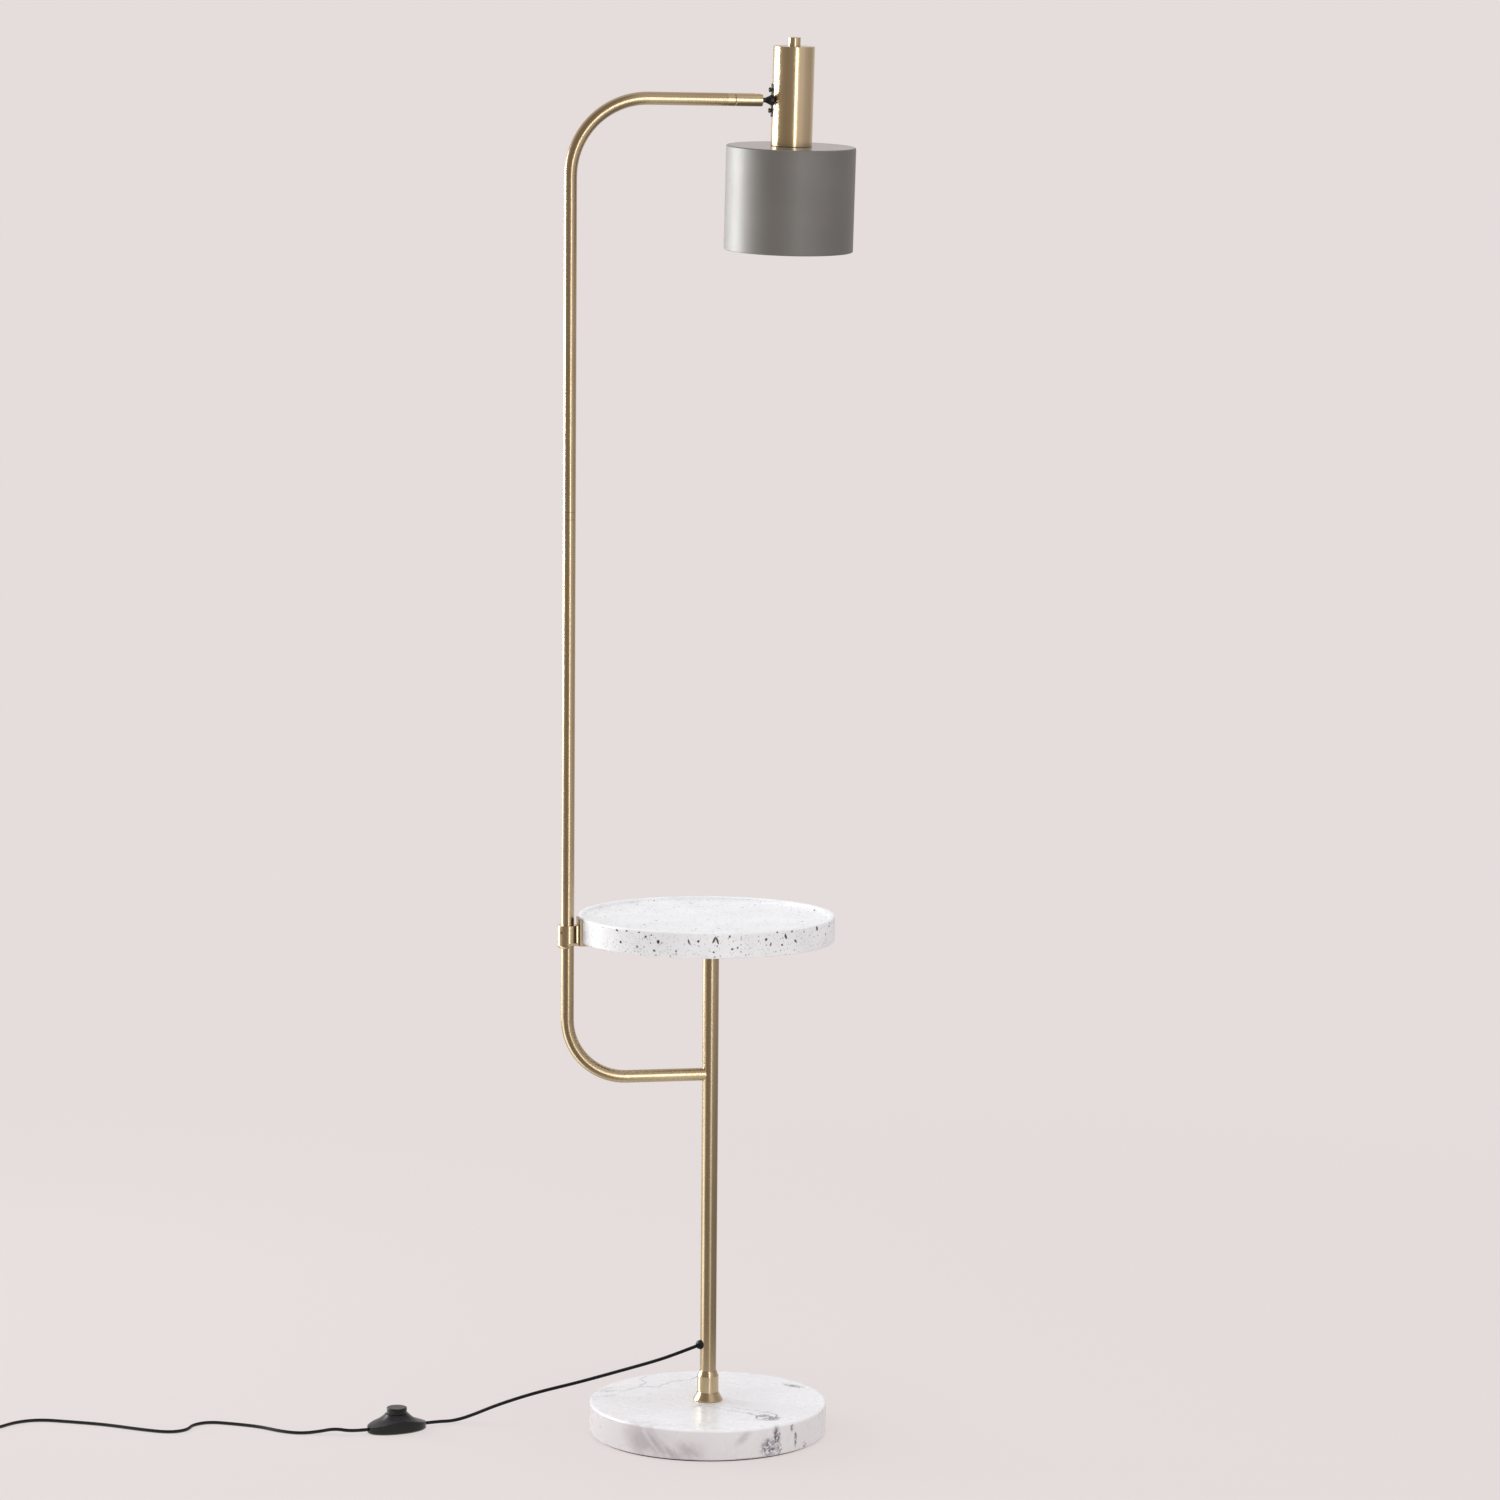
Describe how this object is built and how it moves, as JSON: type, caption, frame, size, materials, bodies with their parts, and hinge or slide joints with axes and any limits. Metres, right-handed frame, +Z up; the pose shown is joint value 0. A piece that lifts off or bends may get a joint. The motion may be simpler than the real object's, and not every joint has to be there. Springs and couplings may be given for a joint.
{
  "type": "floor lamp with table",
  "caption": "Floor lamp with a round marble base, bent brass pole, round tray table, swivelling lamp head with drum shade, and a foot switch on its cord.",
  "frame": {"origin": "centre of the base's underside, on the floor", "axes": "+Z up; +X along the arm, from the tall pole over the base towards the lamp head"},
  "size_m": [1.106, 0.3311, 1.6348],
  "materials": {
    "brass": "brushed antique brass, lacquered",
    "marble": "honed white marble with grey veins",
    "terrazzo": "smooth white terrazzo with dark chips",
    "shade_metal": "spun, satin warm grey",
    "black_metal": "satin black",
    "black_plastic": "satin black",
    "black_rubber": "soft, satin",
    "felt": "black felt",
    "steel": "zinc plated",
    "bulb_glass": "frosted white",
    "holder_plastic": "black",
    "cord": "smooth black sheath"
  },
  "bodies": {
    "root": {"base_pad": "felt", "marble_base": "marble", "base_stud": "steel", "base_nut": "steel", "base_washer": "steel", "base_flange": "brass", "base_sleeve": "brass", "pole_insert": "steel", "lower_pole": "brass", "cord_grommet": "black_rubber", "pole_top_plug": "steel", "tray_plate": "brass", "tray_plate_screw": "steel", "tray_screws": "steel", "tray": "terrazzo", "tray_collar": "brass", "collar_screw": "black_metal", "tray_bracket": "brass", "bracket_screws": "black_metal", "lip_screw": "steel", "low_branch": "brass", "low_coupler": "steel", "middle_tube": "brass", "mid_coupler": "brass", "upper_tube": "brass", "arm_ring": "brass", "arm_spindle": "steel", "switch_base": "black_plastic", "switch_cover": "black_plastic", "switch_glands": "black_rubber", "switch_screws": "steel", "switch_spring": "steel", "cord_to_switch": "cord", "cord_to_coil": "cord", "cord_coil": "cord", "coil_tie": "black_rubber", "plug_body": "black_plastic", "plug_blades": "steel"},
    "swivel": {"swivel_housing": "brass", "ball_seat": "black_plastic", "seat_springs": "steel"},
    "head": {"ball_stem": "black_metal", "stem_washer": "steel", "stem_nut": "steel", "saddle_plate": "black_metal", "saddle_screws": "black_metal", "head_tube": "brass", "head_cap": "brass", "finial": "brass", "nipple": "steel", "nipple_nuts": "steel", "lamp_holder": "holder_plastic", "holder_shell": "steel", "holder_contact": "steel", "shade": "shade_metal", "shade_ring": "holder_plastic", "bulb_cap": "steel", "bulb_glass": "bulb_glass"},
    "switch_button": {"switch_button": "black_plastic"}
  },
  "joints": [
    {"name": "swivel_turn", "type": "hinge", "parent": "root", "child": "swivel", "pos_m": [0.035, 0, 1.5625], "axis": [1, 0, 0], "range_deg": [-170.7, 159.3]},
    {"name": "head_tilt", "type": "hinge", "parent": "swivel", "child": "head", "pos_m": [0.0462, 0, 1.5625], "axis": [0, -0.9951, -0.0993], "range_deg": [-15, 80]},
    {"name": "button_press", "type": "slide", "parent": "root", "child": "switch_button", "axis": [0, 0, -1], "range_m": [0, 0.003], "stiffness_N_per_m": 600, "springref_m": -0.005, "deforming": ["switch_spring"]}
  ]
}
